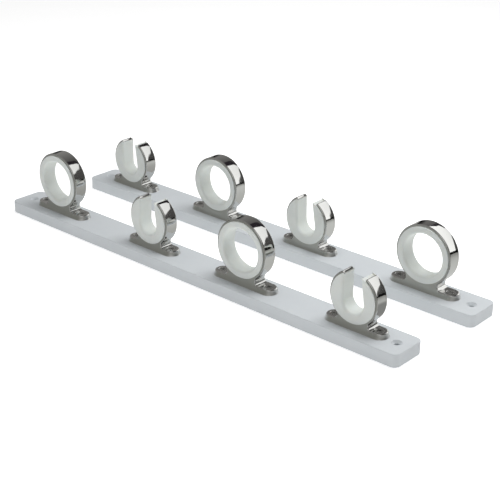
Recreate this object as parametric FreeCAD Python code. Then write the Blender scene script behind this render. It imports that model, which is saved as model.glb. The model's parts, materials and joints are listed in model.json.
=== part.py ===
"""Pair of four-place fishing rod racks, in millimetres.

Each rack is a plastic board with two closed rings and two open clips on it. Ring and clip are
polished castings with a plastic liner, and each is held down by two countersunk screws.
The two racks are alike, and the rear one is turned half a turn about Z, so that a rod passes
through a closed ring of one rack and lies in an open clip of the other.

Frame: +X along the boards, +Z up, origin at the centre of the pair, on the boards' underside.
"""
import FreeCAD, Part
import math
import os

Vector = FreeCAD.Vector
ORIGIN = Vector(0, 0, 0)
X_AXIS = Vector(1, 0, 0)
Y_AXIS = Vector(0, 1, 0)
Z_AXIS = Vector(0, 0, 1)
TOUCH = 0.05

# Board
BOARD_LENGTH = 508.0
BOARD_WIDTH = 40.0
BOARD_THICKNESS = 12.7
BOARD_CORNER_RADIUS = 6.5
BOARD_EDGE_RADIUS = 0.8
MOUNT_HOLE_INSET = 13.5
MOUNT_HOLE_DIAMETER = 5.0
MOUNT_SINK_DIAMETER = 9.6

# Holders in order along a board from its ring end, and their distances
HOLDERS = ("ring", "clip", "ring", "clip")
FIRST_HOLDER_INSET = 64.0
HOLDER_PITCHES = (137.0, 122.0, 129.0)

# Spacing of the two boards, and the shift that puts the end holders in line
RACK_SPACING = 104.0
RACK_SHIFT = 2 * FIRST_HOLDER_INSET + sum(HOLDER_PITCHES) - BOARD_LENGTH

# Castings: what ring and clip share. The sides flare from the band's width out to the foot's.
BAND_WIDTH = 14.7
FOOT_WIDTH = 18.0
FOOT_THICKNESS = 5.0
FOOT_FILLET = 3.5
FLARE_HEIGHT = 8.0
CASTING_EDGE_RADIUS = 1.1

# Castings: what differs. Heights are above the board's top.
RING = {
    "radius": 29.5,
    "wall": 3.2,
    "height": 35.4,
    "foot_length": 75.0,
    "neck_width": 34.6,
    "neck_fillet": 6.0,
}
CLIP = {
    "radius": 25.4,
    "wall": 3.0,
    "height": 29.7,
    "foot_length": 66.0,
    "neck_width": 32.8,
    "neck_fillet": 3.8,
}
CLIP_MOUTH_HALF_ANGLE = 30.0
CLIP_TIP_RADIUS = 0.9

# Liners
LINER_PLAY = 0.1
LINER_FLANGE = 1.1
LINER_FLANGE_COVER = 1.1
LINER_EDGE_RADIUS = 0.5
LINER_MOUTH_RADIUS = 2.4
RING_BORE_RADIUS = 20.75
CLIP_SLOT_RADIUS = 10.8
CLIP_SLOT_DROP = 3.5
CLIP_SLOT_TAPER = 4.0
# Degrees that each clip's liner has slipped round in its casting, anticlockwise from the front
LINER_TURNS = {
    "front_left_clip": 2.5,
    "front_right_clip": 4.0,
    "rear_left_clip": 3.5,
    "rear_right_clip": 5.5,
}

# Countersunk self-tapping screws
SCREW_LENGTH = 15.5
SCREW_HEAD_DIAMETER = 8.4
SCREW_HEAD_RIM = 0.3
SCREW_HEAD_DROP = 0.1
SCREW_SHANK_DIAMETER = 4.2
SCREW_CORE_DIAMETER = 3.0
SCREW_POINT_LENGTH = 2.6
SCREW_THREAD_PITCH = 1.3
THREAD_GROOVE_START = 0.2 * SCREW_THREAD_PITCH
THREAD_GROOVE_END = 0.6 * SCREW_THREAD_PITCH
SCREW_RECESS_SPAN = 4.8
SCREW_RECESS_WIDTH = 1.0
SCREW_RECESS_DEPTH = 1.5
SCREW_TURNS = (28.0, 62.0)
SCREW_HOLE_DIAMETER = 4.6
SCREW_SINK_DIAMETER = SCREW_HEAD_DIAMETER + 2 * (SCREW_HEAD_RIM + SCREW_HEAD_DROP)
PILOT_DEPTH = 11.2


def line(start, end):
    """Edge between two (x, z) points of the XZ plane."""
    return Part.LineSegment(Vector(start[0], 0, start[1]), Vector(end[0], 0, end[1])).toShape()


def arc(centre, radius, angles):
    """Edge on a circle of the XZ plane, through three angles in degrees, from +X towards +Z."""
    points = []
    for angle in angles:
        turn = math.radians(angle)
        points.append(Vector(centre[0] + radius * math.cos(turn), 0, centre[1] + radius * math.sin(turn)))
    return Part.Arc(*points).toShape()


def extrude(outline, low, high):
    """Solid between two Y planes from edges that close an outline in the XZ plane."""
    face = Part.Face(Part.Wire(Part.__sortEdges__(outline)))
    face.translate(Vector(0, low, 0))
    return face.extrude(Vector(0, high - low, 0))


def disc(radius, half_width, height=0.0):
    """Round plate about an axis along Y, centred on the XZ plane."""
    return Part.makeCylinder(radius, 2 * half_width, Vector(0, -half_width, height), Y_AXIS)


def middle_of(edge):
    """Point half way along an edge."""
    return edge.valueAt((edge.FirstParameter + edge.LastParameter) / 2)


def edges_at(shape, test):
    """Edges of a shape whose middle point passes a test."""
    return [edge for edge in shape.Edges if test(middle_of(edge))]


def corner_edges(shape, least_angle=30.0):
    """Edges above the base where two faces meet at a marked angle, but not the seams of smooth joins."""
    chosen = []
    for edge in edges_at(shape, lambda middle: middle.z > TOUCH):
        faces = shape.ancestorsOfType(edge, Part.Face)
        if len(faces) == 2:
            point = middle_of(edge)
            normals = [face.normalAt(*face.Surface.parameter(point)) for face in faces]
            if math.degrees(normals[0].getAngle(normals[1])) > least_angle:
                chosen.append(edge)
    return chosen


def screw_offset(kind):
    """Distance of a casting's screws from its middle: the centre of the foot's round end."""
    return (kind["foot_length"] - FOOT_WIDTH) / 2


def countersunk_hole(diameter, sink_diameter, depth, top):
    """Cutter for a through hole with a 90 degree countersink that opens at the point top."""
    clear = 1.0
    drill = Part.makeCylinder(diameter / 2, depth + 2 * clear, top - Vector(0, 0, depth + clear))
    sink_depth = (sink_diameter - diameter) / 2
    cone = Part.makeCone(diameter / 2, sink_diameter / 2 + clear, sink_depth + clear,
                         top - Vector(0, 0, sink_depth))
    return drill.fuse(cone)


def neck_top(kind):
    """Where the neck's upper fillet runs into the band, as (x, z), and that fillet's centre."""
    reach = kind["radius"] + kind["neck_fillet"]
    out = kind["neck_width"] / 2 + kind["neck_fillet"]
    drop = math.sqrt(reach ** 2 - out ** 2)
    share = kind["radius"] / reach
    return (out * share, kind["height"] - drop * share), (out, kind["height"] - drop)


def foot_and_neck_outline(kind):
    """Front view of the casting below the band: a flat foot, a fillet, a short waist, a fillet."""
    waist = kind["neck_width"] / 2
    root = waist + FOOT_FILLET
    end = kind["foot_length"] / 2 + 1
    (top_x, top_z), (centre_x, centre_z) = neck_top(kind)
    tangent = math.degrees(math.atan2(kind["height"] - centre_z, -centre_x))
    edges = [line((-end, 0), (end, 0)), line((top_x, top_z), (-top_x, top_z))]
    for side in (-1, 1):
        lower = [270, 225, 180]
        upper = [180, (180 + tangent) / 2, tangent]
        if side < 0:
            lower = [180 - angle for angle in lower]
            upper = [180 - angle for angle in upper]
        edges.append(line((side * end, 0), (side * end, FOOT_THICKNESS)))
        edges.append(line((side * end, FOOT_THICKNESS), (side * root, FOOT_THICKNESS)))
        edges.append(arc((side * root, FOOT_THICKNESS + FOOT_FILLET), FOOT_FILLET, lower))
        edges.append(line((side * waist, FOOT_THICKNESS + FOOT_FILLET), (side * waist, centre_z)))
        edges.append(arc((side * centre_x, centre_z), kind["neck_fillet"], upper))
    return edges


def flared_sides(kind, height):
    """Solid that bounds the foot and neck front and back: band width above, flared out to the foot below.

    Its ends are full-round in plan, with the same flare.
    """
    top = BAND_WIDTH / 2
    base = FOOT_WIDTH / 2
    radius = (FLARE_HEIGHT ** 2 + (base - top) ** 2) / (2 * (base - top))
    half_turn = math.asin(FLARE_HEIGHT / radius) / 2
    middle = Vector(0, top + radius * (1 - math.cos(half_turn)), FLARE_HEIGHT - radius * math.sin(half_turn))
    corners = [Vector(0, top, FLARE_HEIGHT), Vector(0, top, height), Vector(0, 0, height), ORIGIN,
               Vector(0, base, 0)]
    edges = [Part.Arc(corners[-1], middle, corners[0]).toShape()]
    for start, end in zip(corners, corners[1:]):
        edges.append(Part.LineSegment(start, end).toShape())
    section = Part.Face(Part.Wire(Part.__sortEdges__(edges)))
    reach = screw_offset(kind)
    round_end = section.revolve(ORIGIN, Z_AXIS, 360)
    section.translate(Vector(-reach, 0, 0))
    half = section.extrude(Vector(2 * reach, 0, 0))
    pieces = [half.mirror(ORIGIN, Y_AXIS)]
    for side in (-1, 1):
        pieces.append(round_end.translated(Vector(side * reach, 0, 0)))
    return half.fuse(pieces).removeSplitter()


def casting(kind, mouth_half_angle=None):
    """One-piece bracket: foot, neck and band, rounded all along its outline. A clip's band is open."""
    half = BAND_WIDTH / 2
    (_, top_z), _ = neck_top(kind)
    body = extrude(foot_and_neck_outline(kind), -FOOT_WIDTH, FOOT_WIDTH)
    body = body.common(flared_sides(kind, top_z + 1))
    body = body.fuse(disc(kind["radius"], half, kind["height"])).removeSplitter()
    body = body.makeFillet(CASTING_EDGE_RADIUS, corner_edges(body))
    body = body.cut(disc(kind["radius"] - kind["wall"], half + 1, kind["height"]))
    if mouth_half_angle:
        body = open_mouth(body, kind, mouth_half_angle)
    for side in (-1, 1):
        place = Vector(side * screw_offset(kind), 0, FOOT_THICKNESS)
        body = body.cut(countersunk_hole(SCREW_HOLE_DIAMETER, SCREW_SINK_DIAMETER, FOOT_THICKNESS, place))
    return body


def open_mouth(band, kind, half_angle):
    """Cut the band's top away between two radial planes and round the ends."""
    far = 2 * kind["radius"]
    spread = far * math.tan(math.radians(half_angle))
    centre = (0, kind["height"])
    left = (-spread, kind["height"] + far)
    right = (spread, kind["height"] + far)
    wedge = extrude([line(centre, left), line(left, right), line(right, centre)], -BAND_WIDTH, BAND_WIDTH)
    band = band.cut(wedge)
    direction = math.radians(90 - half_angle)
    tips = []
    for reach in (kind["radius"], kind["radius"] - kind["wall"]):
        tips.append((reach * math.cos(direction), kind["height"] + reach * math.sin(direction)))

    def at_tip(middle):
        near = any(math.hypot(abs(middle.x) - x, middle.z - z) < TOUCH for x, z in tips)
        return near and abs(middle.y) < TOUCH

    return band.makeFillet(CLIP_TIP_RADIUS, edges_at(band, at_tip))


def bobbin(kind):
    """Liner blank about the band's axis: a sleeve between two flanges that grip the band."""
    sleeve = kind["radius"] - kind["wall"] - LINER_PLAY
    flange = kind["radius"] - kind["wall"] + LINER_FLANGE_COVER
    inner = BAND_WIDTH / 2 + LINER_PLAY
    outer = inner + LINER_FLANGE
    body = disc(sleeve, inner)
    for side in (-1, 1):
        low = min(side * inner, side * outer)
        plate = Part.makeCylinder(flange, LINER_FLANGE, Vector(0, low, 0), Y_AXIS)
        rim = edges_at(plate, lambda middle: abs(middle.y - side * outer) < TOUCH)
        body = body.fuse(plate.makeFillet(LINER_EDGE_RADIUS, rim))
    return body.removeSplitter()


def hole_section(radius):
    """Half section, in the XY plane, of a hole along Y whose two ends open out in a round edge."""
    outer = BAND_WIDTH / 2 + LINER_PLAY + LINER_FLANGE
    past = outer + 1
    wide = radius + LINER_MOUTH_RADIUS
    inset = LINER_MOUTH_RADIUS * (1 - math.sqrt(0.5))
    points = [Vector(radius, outer - LINER_MOUTH_RADIUS, 0), Vector(wide, outer, 0)]
    middle = Vector(radius + inset, outer - inset, 0)
    front_points = [Vector(point.x, -point.y, 0) for point in points]
    front_middle = Vector(middle.x, -middle.y, 0)
    corners = [points[1], Vector(wide, past, 0), Vector(0, past, 0), Vector(0, -past, 0),
               Vector(wide, -past, 0), front_points[1]]
    edges = [Part.Arc(points[0], middle, points[1]).toShape(),
             Part.Arc(front_points[0], front_middle, front_points[1]).toShape(),
             Part.LineSegment(front_points[0], points[0]).toShape()]
    for start, end in zip(corners, corners[1:]):
        edges.append(Part.LineSegment(start, end).toShape())
    return Part.Face(Part.Wire(Part.__sortEdges__(edges)))


def ring_liner():
    """Closed liner, its bore rounded at both ends. Centred on the band's axis."""
    return bobbin(RING).cut(hole_section(RING_BORE_RADIUS).revolve(ORIGIN, Y_AXIS, 360))


def clip_liner():
    """Open liner whose slot narrows a little towards its mouth. Centred on the band's axis."""
    section = hole_section(CLIP_SLOT_RADIUS)
    bottom = section.revolve(ORIGIN, Y_AXIS, 360)
    section.rotate(ORIGIN, Y_AXIS, -CLIP_SLOT_TAPER)
    taper = math.radians(CLIP_SLOT_TAPER)
    upright = section.extrude(Vector(-math.sin(taper), 0, math.cos(taper)) * (2 * CLIP["radius"]))
    slot = bottom.fuse([upright, upright.mirror(ORIGIN, X_AXIS)])
    slot.translate(Vector(0, 0, -CLIP_SLOT_DROP))
    return bobbin(CLIP).cut(slot).removeSplitter()


def board():
    """Flat board with rounded corners and edges, a mounting hole at each end and the screws' pilot holes."""
    body = Part.makeBox(BOARD_LENGTH, BOARD_WIDTH, BOARD_THICKNESS,
                        Vector(-BOARD_LENGTH / 2, -BOARD_WIDTH / 2, 0))
    half = BOARD_THICKNESS / 2
    body = body.makeFillet(BOARD_CORNER_RADIUS, edges_at(body, lambda middle: abs(middle.z - half) < TOUCH))
    rims = edges_at(body, lambda middle: abs(middle.z - half) > half - TOUCH)
    body = body.makeFillet(BOARD_EDGE_RADIUS, rims)
    for side in (-1, 1):
        place = Vector(side * (BOARD_LENGTH / 2 - MOUNT_HOLE_INSET), 0, BOARD_THICKNESS)
        body = body.cut(countersunk_hole(MOUNT_HOLE_DIAMETER, MOUNT_SINK_DIAMETER, BOARD_THICKNESS, place))
    for place, name in zip(holder_places(), HOLDERS):
        offset = screw_offset(RING if name == "ring" else CLIP)
        for side in (-1, 1):
            foot_of_hole = Vector(place + side * offset, 0, BOARD_THICKNESS - PILOT_DEPTH)
            body = body.cut(Part.makeCylinder(SCREW_CORE_DIAMETER / 2, PILOT_DEPTH + 1, foot_of_hole))
    return body


def screw_profile():
    """Half section of a screw as (radius, z) points, with its thread as ridges."""
    head = SCREW_HEAD_DIAMETER / 2
    shank = SCREW_SHANK_DIAMETER / 2
    core = SCREW_CORE_DIAMETER / 2
    point_start = SCREW_POINT_LENGTH - SCREW_LENGTH
    height = -FOOT_THICKNESS
    profile = [(0, 0), (head, 0), (head, -SCREW_HEAD_RIM), (shank, -SCREW_HEAD_RIM - (head - shank)),
               (shank, height)]
    while height - SCREW_THREAD_PITCH > point_start:
        profile.append((core, height - THREAD_GROOVE_START))
        profile.append((core, height - THREAD_GROOVE_END))
        profile.append((shank, height - SCREW_THREAD_PITCH))
        height -= SCREW_THREAD_PITCH
    profile.append((core, height - THREAD_GROOVE_START))
    profile.append((core, point_start))
    profile.append((0, -SCREW_LENGTH))
    return profile


def screw():
    """Countersunk screw with a cross recess, its head's top at the origin."""
    profile = screw_profile()
    edges = [line(start, end) for start, end in zip(profile, profile[1:] + profile[:1])]
    body = Part.Face(Part.Wire(edges)).revolve(ORIGIN, Z_AXIS, 360)
    for span, width in ((SCREW_RECESS_SPAN, SCREW_RECESS_WIDTH), (SCREW_RECESS_WIDTH, SCREW_RECESS_SPAN)):
        corner = Vector(-span / 2, -width / 2, -SCREW_RECESS_DEPTH)
        body = body.cut(Part.makeBox(span, width, SCREW_RECESS_DEPTH + 1, corner))
    return body


def screw_pair(kind):
    """The two screws of one casting, as separate solids, seated in the foot's countersinks."""
    pair = []
    for side, turn in zip((-1, 1), SCREW_TURNS):
        one = screw()
        one.rotate(ORIGIN, Z_AXIS, turn)
        one.translate(Vector(side * screw_offset(kind), 0, FOOT_THICKNESS - SCREW_HEAD_DROP))
        pair.append(one)
    return Part.makeCompound(pair)


def holder_places():
    """X of each holder from the board's middle, in order from the ring end."""
    places = [FIRST_HOLDER_INSET - BOARD_LENGTH / 2]
    for pitch in HOLDER_PITCHES:
        places.append(places[-1] + pitch)
    return places


def holder(kind_name, liner_turn):
    """A casting, its liner and its screws, by name, on the plane that the foot stands on."""
    if kind_name == "ring":
        kind = RING
        bracket = casting(RING)
        liner = ring_liner()
    else:
        kind = CLIP
        bracket = casting(CLIP, CLIP_MOUTH_HALF_ANGLE)
        liner = clip_liner()
        liner.rotate(ORIGIN, Y_AXIS, liner_turn)
    liner.translate(Vector(0, 0, kind["height"]))
    return {"bracket": bracket, "liner": liner, "screws": screw_pair(kind)}


def rack(name, half_turn, sides):
    """All the pieces of one rack, placed in the frame of the pair."""
    direction = 1 if half_turn else -1
    pieces = {f"{name}_board": board()}
    for place, side, kind_name in zip(holder_places(), sides, HOLDERS):
        label = f"{name}_{side}_{kind_name}"
        turn = direction * LINER_TURNS.get(label, 0.0)
        for piece_name, piece in holder(kind_name, turn).items():
            piece.translate(Vector(place, 0, BOARD_THICKNESS))
            pieces[f"{label}_{piece_name}"] = piece
    for piece in pieces.values():
        if half_turn:
            piece.rotate(ORIGIN, Z_AXIS, 180)
        piece.translate(Vector(direction * RACK_SHIFT / 2, direction * RACK_SPACING / 2, 0))
    return pieces


def main():
    """Build both racks and write one STEP file for each piece."""
    os.makedirs("parts", exist_ok=True)
    pieces = rack("front", False, ("left", "left", "right", "right"))
    pieces.update(rack("rear", True, ("right", "right", "left", "left")))
    for name, shape in pieces.items():
        shape.exportStep(f"parts/{name}.step")
        print(name, "valid" if shape.isValid() else "INVALID", len(shape.Solids), round(shape.Volume, 1))


main()
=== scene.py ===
"""Looks of the fishing rod racks: materials, floor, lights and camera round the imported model."""
import json
import math

import bpy
from mathutils import Matrix, Vector


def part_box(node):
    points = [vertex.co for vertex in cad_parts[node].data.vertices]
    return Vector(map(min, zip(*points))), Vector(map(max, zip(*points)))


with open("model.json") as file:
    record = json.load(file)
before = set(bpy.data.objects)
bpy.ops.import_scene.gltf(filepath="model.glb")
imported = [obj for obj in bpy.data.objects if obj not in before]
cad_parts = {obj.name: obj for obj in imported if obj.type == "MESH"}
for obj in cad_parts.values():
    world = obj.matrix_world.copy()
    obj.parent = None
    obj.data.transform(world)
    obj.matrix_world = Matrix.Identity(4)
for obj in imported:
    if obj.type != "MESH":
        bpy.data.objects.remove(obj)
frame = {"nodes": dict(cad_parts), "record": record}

# Lengths are in metres. A step holds low, high, start and end: what it gives goes smoothly from
# start to end (from 0 to 1 if they are left out) as what it depends on goes from low to high.
UP = (0, 0, 1)
RIGHT = (1, 0, 0)
BACK = (0, 1, 0)
BLACK = (0, 0, 0, 1)
WHITE = (1, 1, 1, 1)

# Camera: where it looks from and at, with angles in degrees, and its lens and sensor in millimetres
CAMERA_AZIMUTH = 41.57
CAMERA_ELEVATION = 24.22
CAMERA_ROLL = 0.5
CAMERA_DISTANCE = 1.129
CAMERA_AIM = Vector((0.0443, -0.0232, 0.030))
CAMERA_LENS = 85.4
CAMERA_SENSOR = 36
CAMERA_CLIP = (0.05, 50)

# Plastics and screws: where noise mostly lies, the two colours that each material is clouded with,
# its range of roughness, and how far light goes into the liners, by colour
NOISE_RANGE = (0.3, 0.7)
BOARD_COLORS = ((0.60, 0.635, 0.66, 1), (0.66, 0.69, 0.71, 1))
BOARD_ROUGHNESS = (0.46, 0.58)
LINER_COLORS = ((0.69, 0.72, 0.69, 1), (0.77, 0.80, 0.775, 1))
LINER_ROUGHNESS = (0.34, 0.46)
LINER_SCATTER = (1.0, 0.9, 0.75)
SCREW_COLORS = ((0.46, 0.46, 0.45, 1), (0.58, 0.58, 0.56, 1))
SCREW_ROUGHNESS = (0.16, 0.34)

# Castings: colours of the polished steel and of its darker satin faces (with painted shade toward
# the foot), and roughness of the mirror, what satin adds to it and what smears add to it by their noise
STEEL_COLORS = ((0.60, 0.60, 0.585, 1), (0.66, 0.66, 0.65, 1))
STEEL_DULL_AND_SHADE = (0.41, 0.415, 0.39, 1)
MIRROR_ROUGHNESS = 0.05
SATIN_ROUGHNESS = 0.25
SMEAR_STEP = (0.35, 0.75, 0.0, 0.05)
# Heights up to which a casting counts as its foot and from which it counts as its band
FOOT_TOP = 0.0165
BAND_START = 0.027
# Shares of front or back face and of round face, by how far a surface turns to the front or back
FACE_STEP = (0.75, 0.98)
ROUND_STEP = (0.05, 0.35, 1.0, 0.0)
# Share of satin on the foot, less where a surface lies flat, and share of the faces' darker satin colour by
# height, fuller toward the foot as painted shade
FOOT_FLAT_STEP = (0.55, 0.80, 1.0, 0.45)
FOOT_STEP = (FOOT_TOP, FOOT_TOP + 0.0015, 1.0, 0.0)
DULL_AND_SHADE_STEP = (FOOT_TOP, FOOT_TOP + 0.012, 1.0, 0.9)
# The polished face's inward slope at its edges, and how many times that slope it leans further
# towards its rear edge, by the place across the band in half widths
BAND_HALF_WIDTH = 0.00735
BAND_HOLLOW = 0.05
BAND_STEP = (BAND_START - 0.004, BAND_START, 0.0, -BAND_HOLLOW)
RIM_GENTLE_STEP = (0.35, 0.85, 0.0, 2.1)
RIM_SHARP_STEP = (0.82, 0.99, 0.0, 2.8)

# Floor and backdrop
FLOOR_SIZE = 20.0
FLOOR_DROP = 0.0004
FLOOR_COLOR = (0.88, 0.88, 0.88, 1)
FLOOR_GLOW = 0.54
BACKDROP_RADIUS = 9.0
BACKDROP_COLOR = (0.74, 0.74, 0.74, 1)
CIRCLE_STEPS = 48
GLOBE_RINGS = 24

# Table as the steel sees it: a bright patch behind the middle, and a shade at the right ends
TABLE_RADIUS = 0.85
TABLE_COLORS = ((0.77, 0.78, 0.76, 1), (0.40, 0.40, 0.38, 1))
PATCH_MIDDLE = (0.15, 0.15, 0)
PATCH_STEP = (0.0, 0.42)
SHADE_MIDDLE = (0.25, 0.0, 0)
SHADE_STEP = (0.03, 0.09, 0.5, 1.0)

# Room as the steel sees it: its colours from left to right, and the heights where they meet,
# all by direction
SURROUND_RADIUS = 4.0
RIGHT_BACK = (0.75, 0.66, 0)
HIGH_COLORS = ((0.30, 0.295, 0.285, 1), (0.092, 0.089, 0.088, 1))
HIGH_STEP = (-0.40, 0.60)
LOW_COLORS = ((0.035, 0.034, 0.034, 1), (0.080, 0.078, 0.076, 1))
LOW_STEP = (0.55, 0.85)
LOW_TO_HIGH_STEP = (0.10, 0.30)
HORIZON_COLOR = (0.003, 0.003, 0.003, 1)
HORIZON_STEP = (0.035, 0.065)
FRONT_COLOR = (0.33, 0.33, 0.31, 1)
FRONT_STEP = (0.0, 0.5)
FRONT_TO_BACK_STEP = (-0.15, 0.15)

# Softbox behind the racks and its dark frame: left and right ends, height of the top edge over the
# origin and its slope, and the fade of its light along a slanting direction
PANEL_LEFT = -0.55
PANEL_RIGHT = 1.45
PANEL_RIGHT_FOOT = 1.52
PANEL_FOOT = 0.06
PANEL_TOP = 1.53
PANEL_SLANT = 1.155
PANEL_AWAY = 1.60
PANEL_COLORS = ((1.50, 1.50, 1.48, 1), (1.12, 1.13, 1.12, 1))
PANEL_FADE_DIRECTION = (0.6, 0, 0.8)
PANEL_FADE_STEP = (0.4, 2.4)
FRAME_AWAY = 1.63
FRAME_RISE = 0.80
FRAME_COLOR = (0.030, 0.026, 0.031, 1)
# Front softbox: its corners go round from the lower left
FRONT_PANEL_COLOR = (0.95, 0.95, 0.94, 1)
FRONT_PANEL_CORNERS = [(0.60, -1.95, 0.75), (1.75, -0.95, 0.75), (1.75, -0.95, 3.0), (0.20, -2.05, 3.0)]

# Sky that lights the plastics, darker to the right
SKY_COLORS = ((0.33, 0.33, 0.33, 1), (0.06, 0.06, 0.06, 1))
SKY_STEP = (-0.2, 0.7)

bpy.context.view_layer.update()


# ---------------------------------------------------------------- node helpers

class Nodes:
    """A material's node tree, with short calls for the nodes that the looks are made of."""

    def __init__(self, name):
        self.material = bpy.data.materials.new(name)
        self.material.use_nodes = True
        self.tree = self.material.node_tree
        self.shader = next(node for node in self.tree.nodes if node.type == "BSDF_PRINCIPLED")

    @classmethod
    def for_world(cls, world):
        """The same calls for a world's node tree."""
        nodes = cls.__new__(cls)
        nodes.tree = world.node_tree
        return nodes

    def add(self, kind, **settings):
        """New node with its properties set."""
        node = self.tree.nodes.new(kind)
        for name, value in settings.items():
            setattr(node, name, value)
        return node

    def feed(self, value, socket):
        """Put a number, a vector or another node's output on a socket."""
        if isinstance(value, bpy.types.NodeSocket):
            self.tree.links.new(value, socket)
        else:
            socket.default_value = value

    def position(self):
        """Place on the object."""
        return self.add("ShaderNodeTexCoord").outputs["Object"]

    def distance(self, point):
        """How far the place on the object is from a point."""
        node = self.add("ShaderNodeVectorMath", operation="DISTANCE")
        self.feed(self.position(), node.inputs[0])
        self.feed(point, node.inputs[1])
        return node.outputs["Value"]

    def noise(self, scale, detail, roughness=0.5, distortion=0.0):
        """Noise between 0 and 1, with scale in waves per metre."""
        node = self.add("ShaderNodeTexNoise")
        self.feed(self.position(), node.inputs["Vector"])
        for name, value in (("Scale", scale), ("Detail", detail), ("Roughness", roughness),
                            ("Distortion", distortion)):
            self.feed(value, node.inputs[name])
        return node.outputs["Fac"]

    def math(self, operation, first, second=0.0):
        """One sum."""
        node = self.add("ShaderNodeMath", operation=operation)
        self.feed(first, node.inputs[0])
        self.feed(second, node.inputs[1])
        return node.outputs[0]

    def math_vector(self, operation, first, second=(0, 0, 0)):
        """One sum on vectors."""
        node = self.add("ShaderNodeVectorMath", operation=operation)
        self.feed(first, node.inputs[0])
        self.feed(second, node.inputs[1])
        return node.outputs["Value" if operation == "DOT_PRODUCT" else "Vector"]

    def along(self, vector, direction):
        """How far a vector goes in a direction."""
        return self.math_vector("DOT_PRODUCT", vector, direction)

    def between(self, value, low, high, start=0.0, end=1.0):
        """Smooth step of a value from low to high, as start to end."""
        node = self.add("ShaderNodeMapRange", interpolation_type="SMOOTHSTEP")
        for index, number in enumerate((value, low, high, start, end)):
            self.feed(number, node.inputs[index])
        return node.outputs["Result"]

    def blend(self, share, first, second):
        """Mix of two colours."""
        node = self.add("ShaderNodeMix", data_type="RGBA")
        self.feed(share, node.inputs["Factor"])
        self.feed(first, node.inputs[6])
        self.feed(second, node.inputs[7])
        return node.outputs[2]

    def bump(self, height, relief, strength, normal=None):
        """Normal bumped by a height map whose relief is in metres."""
        node = self.add("ShaderNodeBump")
        self.feed(strength, node.inputs["Strength"])
        self.feed(relief, node.inputs["Distance"])
        self.feed(height, node.inputs["Height"])
        if normal:
            self.feed(normal, node.inputs["Normal"])
        return node.outputs["Normal"]

    def set(self, **sockets):
        """Set the shader's sockets. An underscore stands for a space."""
        for name, value in sockets.items():
            self.feed(value, self.shader.inputs[name.replace("_", " ")])


# ---------------------------------------------------------------- materials

def board_material():
    """Pale plastic sheet with a fine pebbled face and faint clouding."""
    nodes = Nodes("board_plastic")
    cloud = nodes.noise(38, detail=4, roughness=0.6)
    polish = nodes.noise(90, detail=3)
    waves = nodes.bump(nodes.noise(24, detail=1), relief=0.0006, strength=0.25)
    pebble = nodes.noise(900, detail=3, roughness=0.55)
    nodes.set(Base_Color=nodes.blend(cloud, *BOARD_COLORS),
              Roughness=nodes.between(polish, *NOISE_RANGE, *BOARD_ROUGHNESS),
              Specular_IOR_Level=0.35,
              Normal=nodes.bump(pebble, relief=0.00006, strength=0.5, normal=waves))
    return nodes.material


def liner_material():
    """Milky moulded plastic, a little translucent, with faint flow marks."""
    nodes = Nodes("liner_plastic")
    cloud = nodes.noise(70, detail=4, roughness=0.6, distortion=0.6)
    polish = nodes.noise(160, detail=3)
    grain = nodes.noise(1400, detail=2)
    nodes.set(Base_Color=nodes.blend(cloud, *LINER_COLORS),
              Roughness=nodes.between(polish, *NOISE_RANGE, *LINER_ROUGHNESS),
              Subsurface_Weight=0.25, Subsurface_Scale=0.004, Subsurface_Radius=LINER_SCATTER,
              Normal=nodes.bump(grain, relief=0.00003, strength=0.5))
    return nodes.material


def hollow_normal(nodes, normal, sideways, height):
    """Normal of a casting whose band is polished very slightly hollow across its width."""
    row_low, row_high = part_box("rear_left_ring_bracket")
    row_middle = (row_low[1] + row_high[1]) / 2
    place = nodes.add("ShaderNodeSeparateXYZ")
    nodes.feed(nodes.position(), place.inputs[0])
    backward = place.outputs["Y"]
    middle = nodes.math("MULTIPLY", nodes.math("SIGN", backward), row_middle)
    across = nodes.math("DIVIDE", nodes.math("SUBTRACT", backward, middle), BAND_HALF_WIDTH)
    rim = nodes.math("ADD", nodes.between(across, *RIM_GENTLE_STEP), nodes.between(across, *RIM_SHARP_STEP))
    on_band = nodes.math("MULTIPLY", nodes.between(sideways, *ROUND_STEP),
                         nodes.between(height, *BAND_STEP))
    shift = nodes.add("ShaderNodeCombineXYZ")
    nodes.feed(nodes.math("MULTIPLY", nodes.math("ADD", across, rim), on_band), shift.inputs["Y"])
    return nodes.math_vector("NORMALIZE", nodes.math_vector("ADD", normal, shift.outputs[0]))


def casting_material():
    """Stainless steel: mirror-polished band, satin foot, and darker satin front and back faces with painted
    shade toward the foot.
    """
    nodes = Nodes("polished_steel")
    normal = nodes.add("ShaderNodeNewGeometry").outputs["Normal"]
    sideways = nodes.math("ABSOLUTE", nodes.along(normal, BACK))
    flatness = nodes.math("ABSOLUTE", nodes.along(normal, UP))
    height = nodes.along(nodes.position(), UP)
    face = nodes.between(sideways, *FACE_STEP)

    # Front and back faces take the darker satin colour, a little more of it toward the foot as painted
    # shade.
    dull_and_shade = nodes.math("MULTIPLY", face, nodes.between(height, *DULL_AND_SHADE_STEP))
    steel = nodes.blend(nodes.noise(45, detail=4, roughness=0.6), *STEEL_COLORS)
    nodes.set(Base_Color=nodes.blend(dull_and_shade, steel, STEEL_DULL_AND_SHADE), Metallic=1.0)

    foot = nodes.math("MULTIPLY", nodes.between(flatness, *FOOT_FLAT_STEP),
                      nodes.between(height, *FOOT_STEP))
    satin = nodes.math("MULTIPLY", nodes.math("MAXIMUM", face, foot), SATIN_ROUGHNESS)
    smear = nodes.between(nodes.noise(120, detail=4, roughness=0.6), *SMEAR_STEP)
    nodes.set(Roughness=nodes.math("ADD", nodes.math("ADD", satin, MIRROR_ROUGHNESS), smear))

    bent = hollow_normal(nodes, normal, sideways, height)
    waves = nodes.bump(nodes.noise(60, detail=1, distortion=0.4), relief=0.0006, strength=0.3, normal=bent)
    grain = nodes.noise(500, detail=2)
    nodes.set(Normal=nodes.bump(grain, relief=0.00001, strength=0.12, normal=waves))
    return nodes.material


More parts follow.
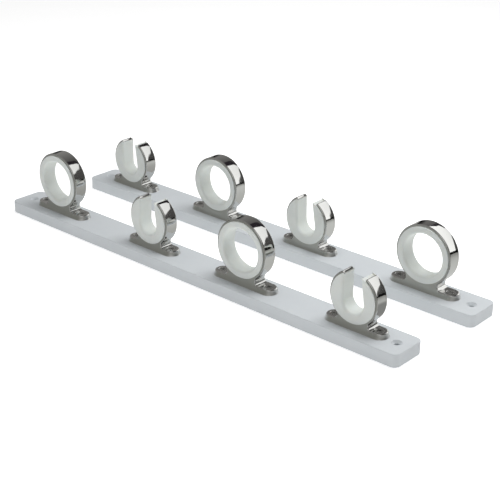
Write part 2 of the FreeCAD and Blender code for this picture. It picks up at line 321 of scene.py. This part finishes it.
def screw_material():
    """Turned stainless steel."""
    nodes = Nodes("screw_steel")
    cloud = nodes.noise(300, detail=3)
    polish = nodes.noise(900, detail=3)
    grain = nodes.noise(2500, detail=2)
    nodes.set(Base_Color=nodes.blend(cloud, *SCREW_COLORS), Metallic=1.0,
              Roughness=nodes.between(polish, *NOISE_RANGE, *SCREW_ROUGHNESS),
              Normal=nodes.bump(grain, relief=0.00002, strength=0.4))
    return nodes.material


def dress_nodes():
    """Give every CAD node the material of its slot."""
    made = {"board": board_material(), "liner": liner_material(), "casting": casting_material(),
            "screw": screw_material()}
    slots = {part["node"]: part["material_slot"] for part in frame["record"]["subparts"]}
    for name, piece in frame["nodes"].items():
        piece.data.materials.clear()
        piece.data.materials.append(made[slots[name]])


# ---------------------------------------------------------------- stage pieces

def stage_mesh(name, corners, faces, material):
    """Stage piece from its corners and faces."""
    mesh = bpy.data.meshes.new(name)
    mesh.from_pydata(corners, [], faces)
    mesh.materials.append(material)
    card = bpy.data.objects.new(name, mesh)
    bpy.context.scene.collection.objects.link(card)
    return card


def seen_only_by(kept, card):
    """Leave a stage piece out of every kind of ray but one."""
    for kind in ("camera", "diffuse", "glossy", "transmission", "volume_scatter", "shadow"):
        setattr(card, "visible_" + kind, kind == kept)


def circle(radius, height):
    """Points of a level circle round the vertical axis."""
    turns = [2 * math.pi * step / CIRCLE_STEPS for step in range(CIRCLE_STEPS)]
    return [(radius * math.cos(turn), radius * math.sin(turn), height) for turn in turns]


def globe(name, radius, material):
    """Stage sphere round the origin."""
    corners = []
    for ring in range(GLOBE_RINGS + 1):
        rise = math.pi * (ring / GLOBE_RINGS - 0.5)
        corners += circle(radius * math.cos(rise), radius * math.sin(rise))
    faces = []
    for lower in range(0, GLOBE_RINGS * CIRCLE_STEPS, CIRCLE_STEPS):
        upper = lower + CIRCLE_STEPS
        for step in range(CIRCLE_STEPS):
            after = (step + 1) % CIRCLE_STEPS
            faces.append((lower + step, upper + step, upper + after, lower + after))
    return stage_mesh(name, corners, faces, material)


def glow_nodes(name, color=BLACK):
    """Nodes of a surface that only glows, in one colour, and that isn't sampled as a lamp."""
    nodes = Nodes(name)
    nodes.set(Base_Color=BLACK, Specular_IOR_Level=0.0, Emission_Color=color, Emission_Strength=1.0)
    nodes.material.cycles.emission_sampling = "NONE"
    return nodes


def floor():
    """White floor that glows a little, so that it stays white round the object."""
    nodes = Nodes("floor_white")
    nodes.set(Base_Color=FLOOR_COLOR, Roughness=0.9, Specular_IOR_Level=0.1,
              Emission_Color=WHITE, Emission_Strength=FLOOR_GLOW)
    half = FLOOR_SIZE / 2
    corners = [(x * half, y * half, -FLOOR_DROP) for x, y in ((-1, -1), (1, -1), (1, 1), (-1, 1))]
    card = stage_mesh("floor", corners, [(0, 1, 2, 3)], nodes.material)
    card.visible_glossy = False


def backdrop():
    """Pale wall far behind everything, seen by the camera alone."""
    look = glow_nodes("backdrop", BACKDROP_COLOR)
    seen_only_by("camera", globe("backdrop", BACKDROP_RADIUS, look.material))


def reflected_table():
    """Table as the polished steel sees it, brightest where the softbox lights it, behind the middle."""
    nodes = glow_nodes("reflected_table")
    away = nodes.between(nodes.distance(PATCH_MIDDLE), *PATCH_STEP)
    shade = nodes.between(nodes.distance(SHADE_MIDDLE), *SHADE_STEP)
    nodes.set(Emission_Color=nodes.blend(away, *TABLE_COLORS), Emission_Strength=shade)
    corners = circle(TABLE_RADIUS, -2 * FLOOR_DROP)
    table = stage_mesh("reflected_table", corners, [tuple(range(CIRCLE_STEPS))], nodes.material)
    seen_only_by("glossy", table)


def surround():
    """Dark room as the polished steel sees it, with a black line beyond the table's far edge."""
    nodes = glow_nodes("surround")
    direction = nodes.math_vector("NORMALIZE", nodes.position())
    rise = nodes.along(direction, UP)
    rightward = nodes.along(direction, RIGHT_BACK)
    high = nodes.blend(nodes.between(rightward, *HIGH_STEP), *HIGH_COLORS)
    low = nodes.blend(nodes.between(rightward, *LOW_STEP), *LOW_COLORS)
    wall = nodes.blend(nodes.between(rise, *LOW_TO_HIGH_STEP), low, high)
    back = nodes.blend(nodes.between(rise, *HORIZON_STEP), HORIZON_COLOR, wall)
    front = nodes.blend(nodes.between(rise, *FRONT_STEP), FRONT_COLOR, high)
    backward = nodes.along(direction, BACK)
    nodes.set(Emission_Color=nodes.blend(nodes.between(backward, *FRONT_TO_BACK_STEP), front, back))
    seen_only_by("glossy", globe("surround", SURROUND_RADIUS, nodes.material))


def softbox():
    """Tall bright panel behind the racks, with its top edge slanting and a dark frame above that edge."""
    panel = glow_nodes("softbox")
    fade = panel.between(panel.along(panel.position(), PANEL_FADE_DIRECTION), *PANEL_FADE_STEP)
    panel.set(Emission_Color=panel.blend(fade, *PANEL_COLORS))
    border = glow_nodes("softbox_frame", FRAME_COLOR)
    for name, look, away, rise in (("softbox", panel, PANEL_AWAY, 0.0),
                                   ("softbox_frame", border, FRAME_AWAY, FRAME_RISE)):
        left_top, right_top = (PANEL_TOP + PANEL_SLANT * end + rise for end in (PANEL_LEFT, PANEL_RIGHT))
        corners = [(PANEL_LEFT, away, PANEL_FOOT), (PANEL_RIGHT_FOOT, away, PANEL_FOOT),
                   (PANEL_RIGHT, away, right_top), (PANEL_LEFT, away, left_top)]
        seen_only_by("glossy", stage_mesh(name, corners, [(0, 1, 2, 3)], look.material))


def front_softbox():
    """Wide bright panel behind the camera, which draws a thin line along the castings' rounded edges."""
    look = glow_nodes("front_softbox", FRONT_PANEL_COLOR)
    panel = stage_mesh("front_softbox", FRONT_PANEL_CORNERS, [(0, 1, 2, 3)], look.material)
    seen_only_by("glossy", panel)


# ---------------------------------------------------------------- lights and camera

def area_light(name, location, target, size, power):
    """Rectangular soft light that faces a target, left out of mirror reflections. Power is in watts."""
    data = bpy.data.lights.new(name, "AREA")
    data.shape = "RECTANGLE"
    data.size, data.size_y = size
    data.energy = power
    lamp = bpy.data.objects.new(name, data)
    lamp.location = location
    lamp.rotation_euler = (Vector(target) - Vector(location)).to_track_quat("-Z", "Y").to_euler()
    lamp.visible_glossy = False
    bpy.context.scene.collection.objects.link(lamp)


def sky():
    """Dim light from all round, left out of mirror reflections."""
    world = bpy.data.worlds.new("studio")
    world.use_nodes = True
    nodes = Nodes.for_world(world)
    rightward = nodes.along(nodes.add("ShaderNodeTexCoord").outputs["Generated"], RIGHT)
    color = nodes.blend(nodes.between(rightward, *SKY_STEP), *SKY_COLORS)
    nodes.feed(color, world.node_tree.nodes["Background"].inputs["Color"])
    world.cycles_visibility.glossy = False
    bpy.context.scene.world = world


def studio():
    """Floor, lights and what the steel reflects."""
    floor()
    backdrop()
    reflected_table()
    surround()
    softbox()
    front_softbox()
    sky()
    area_light("overhead", location=(0.14, 0.2, 1.6), target=(0.08, 0, 0), size=(1.5, 1.5), power=13.9)
    area_light("back_light", location=(0.27, 0.28, 0.80), target=(0.23, 0.03, 0), size=(0.5, 0.6),
               power=3.1)


def camera():
    """Camera at the viewing angle of the product picture."""
    azimuth = math.radians(CAMERA_AZIMUTH)
    elevation = math.radians(CAMERA_ELEVATION)
    back = Vector((math.sin(azimuth) * math.cos(elevation), -math.cos(azimuth) * math.cos(elevation),
                   math.sin(elevation)))
    data = bpy.data.cameras.new("camera")
    data.lens = CAMERA_LENS
    data.sensor_width = CAMERA_SENSOR
    data.clip_start, data.clip_end = CAMERA_CLIP
    eye = bpy.data.objects.new("camera", data)
    eye.location = CAMERA_AIM + back * CAMERA_DISTANCE
    turn = (-back).to_track_quat("-Z", "Y").to_matrix() @ Matrix.Rotation(math.radians(CAMERA_ROLL), 3, "Z")
    eye.rotation_euler = turn.to_euler()
    bpy.context.scene.collection.objects.link(eye)
    bpy.context.scene.camera = eye


dress_nodes()
studio()
camera()
bpy.context.scene.view_settings.view_transform = "Standard"
